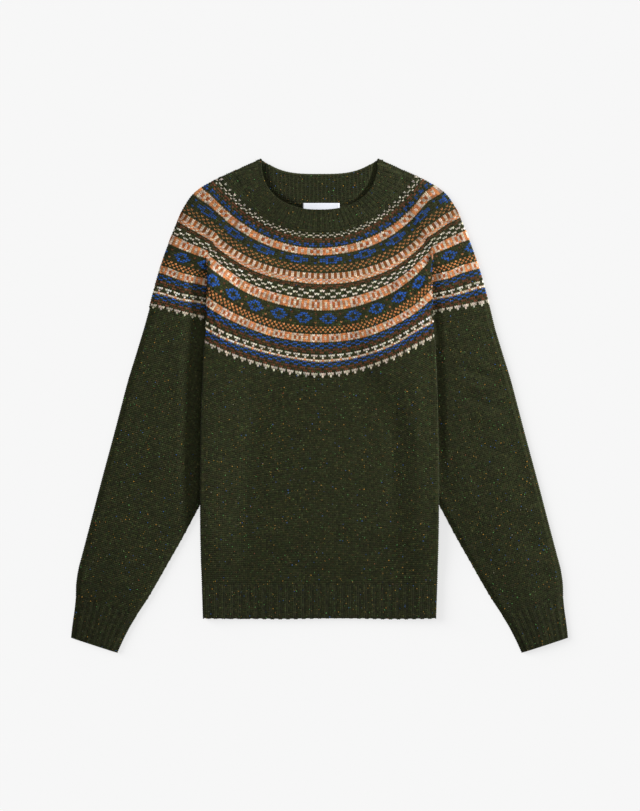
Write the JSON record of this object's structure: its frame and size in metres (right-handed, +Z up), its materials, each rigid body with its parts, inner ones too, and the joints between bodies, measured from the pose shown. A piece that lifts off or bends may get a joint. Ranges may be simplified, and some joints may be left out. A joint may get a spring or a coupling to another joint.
{
  "type": "fair isle yoke jumper, laid flat",
  "caption": "Round-yoke fair isle wool jumper laid flat, sleeves beside the body, sides turned under, ribbed neck, hem and cuffs.",
  "frame": {"origin": "centre of the bounding box, on the surface that the jumper lies on", "axes": "+Z up from the surface, +Y towards the neck, +X towards the wearer's left sleeve"},
  "size_m": [0.7362, 0.7318, 0.0153],
  "materials": {
    "green_wool": "dark olive green donegal wool, flecked, matt",
    "patterned_wool": "stranded colourwork wool in bands, matt",
    "label_satin": "blank white woven satin"
  },
  "bodies": {
    "root": {"neck_rib": "green_wool", "yoke": "patterned_wool", "body_front": "green_wool", "body_back": "green_wool", "hem_rib_front": "green_wool", "hem_rib_back": "green_wool", "sleeve_left": "green_wool", "sleeve_right": "green_wool", "cuff_left": "green_wool", "cuff_right": "green_wool", "neck_label": "label_satin"}
  },
  "joints": []
}
